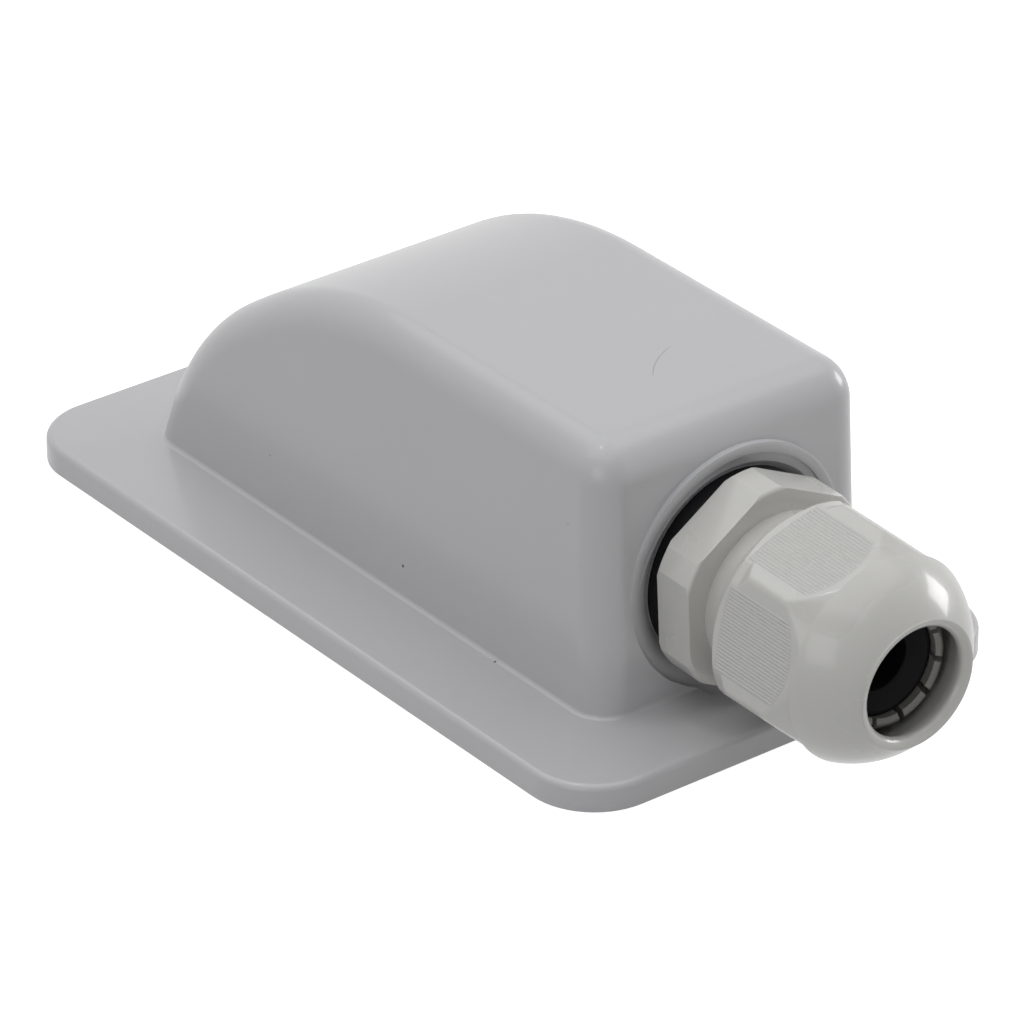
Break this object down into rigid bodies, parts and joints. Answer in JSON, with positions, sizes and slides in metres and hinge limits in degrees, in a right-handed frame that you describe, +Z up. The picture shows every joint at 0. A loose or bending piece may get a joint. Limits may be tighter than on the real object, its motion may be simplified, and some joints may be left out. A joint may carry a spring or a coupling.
{
  "type": "roof cable entry box",
  "caption": "Bonded roof cable entry box with a sloping tail, wide flange and a round cable gland with a ribbed hexagonal dome nut.",
  "frame": {"origin": "centre of the flange's underside, the face that is bonded to the roof", "axes": "+Z up from the roof, -Y towards the gland, which leans down by 1.5 degrees, X across the box"},
  "size_m": [0.062, 0.1291, 0.0365],
  "materials": {
    "housing_plastic": "smooth satin moulded grey-white",
    "gland_nylon": "smooth moulded off-white nylon",
    "black_rubber": "matt black"
  },
  "bodies": {
    "entry_box": {"housing": "housing_plastic", "flat_gasket": "black_rubber", "gland_body": "gland_nylon", "lock_nut": "gland_nylon"},
    "grip": {"clamping_claw": "gland_nylon", "sealing_insert": "black_rubber"},
    "nut": {"dome_nut": "gland_nylon"}
  },
  "joints": [
    {"name": "dome_nut_turn", "type": "hinge", "parent": "grip", "child": "nut", "pos_m": [0, -0.04183, 0.01705], "axis": [0, -0.9997, -0.0262], "range_deg": [-540, 2160]},
    {"name": "grip_slide", "type": "slide", "parent": "entry_box", "child": "grip", "axis": [0, -0.9997, -0.0262], "range_m": [-0.00225, 0.009]}
  ],
  "couplings": [
    {"joint": "grip_slide", "follows": "dome_nut_turn", "m_per_rad": 0.00023873}
  ]
}
